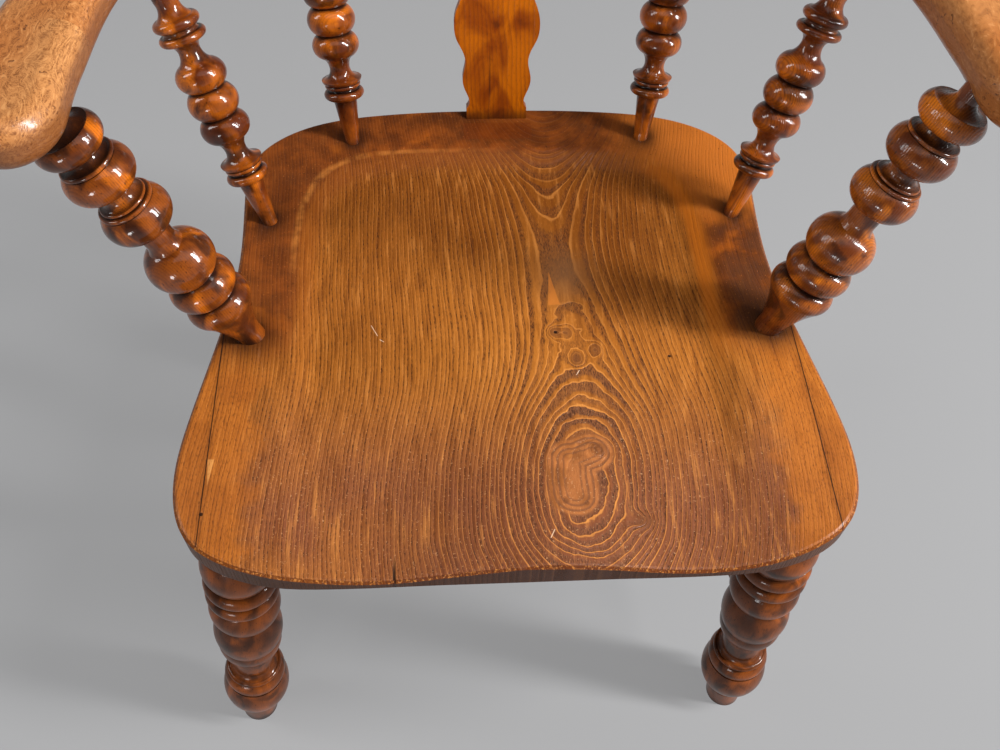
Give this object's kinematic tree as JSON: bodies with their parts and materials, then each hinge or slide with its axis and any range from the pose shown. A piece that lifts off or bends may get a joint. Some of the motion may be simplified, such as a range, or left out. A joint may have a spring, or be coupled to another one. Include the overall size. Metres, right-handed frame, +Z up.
{
  "type": "windsor armchair",
  "caption": "Low-backed Windsor armchair with a saddled plank seat, bobbin-turned posts and spindles, a shaped splat, a broad bow of arms with a crest, and splayed turned legs with stretchers.",
  "frame": {"origin": "on the floor, under the middle of the chair's bounding box", "axes": "+Z up, front towards -Y, the sitter's right arm towards -X"},
  "size_m": [0.6559, 0.5347, 0.706],
  "materials": {
    "seat_elm": "waxed elm, worn, with a bold figure",
    "arm_elm": "waxed elm, worn pale, with dark flecks",
    "splat_wood": "old varnish, satin",
    "turned_wood": "old varnish, glossy, dark in the grooves",
    "leg_wood": "old varnish, satin, worn on the beads",
    "screw_steel": "dark, aged"
  },
  "bodies": {
    "root": {"seat_board": "seat_elm", "seat_strip_left": "seat_elm", "seat_strip_right": "seat_elm", "arm_left": "arm_elm", "arm_right": "arm_elm", "crest": "arm_elm", "crest_screws": "screw_steel", "splat": "splat_wood", "arm_post_left": "turned_wood", "arm_post_right": "turned_wood", "mid_spindle_left": "turned_wood", "mid_spindle_right": "turned_wood", "rear_spindle_left": "turned_wood", "rear_spindle_right": "turned_wood", "front_leg_left": "leg_wood", "front_leg_right": "leg_wood", "rear_leg_left": "leg_wood", "rear_leg_right": "leg_wood", "side_stretcher_left": "leg_wood", "side_stretcher_right": "leg_wood", "cross_stretcher_front": "leg_wood", "cross_stretcher_rear": "leg_wood"}
  },
  "joints": []
}
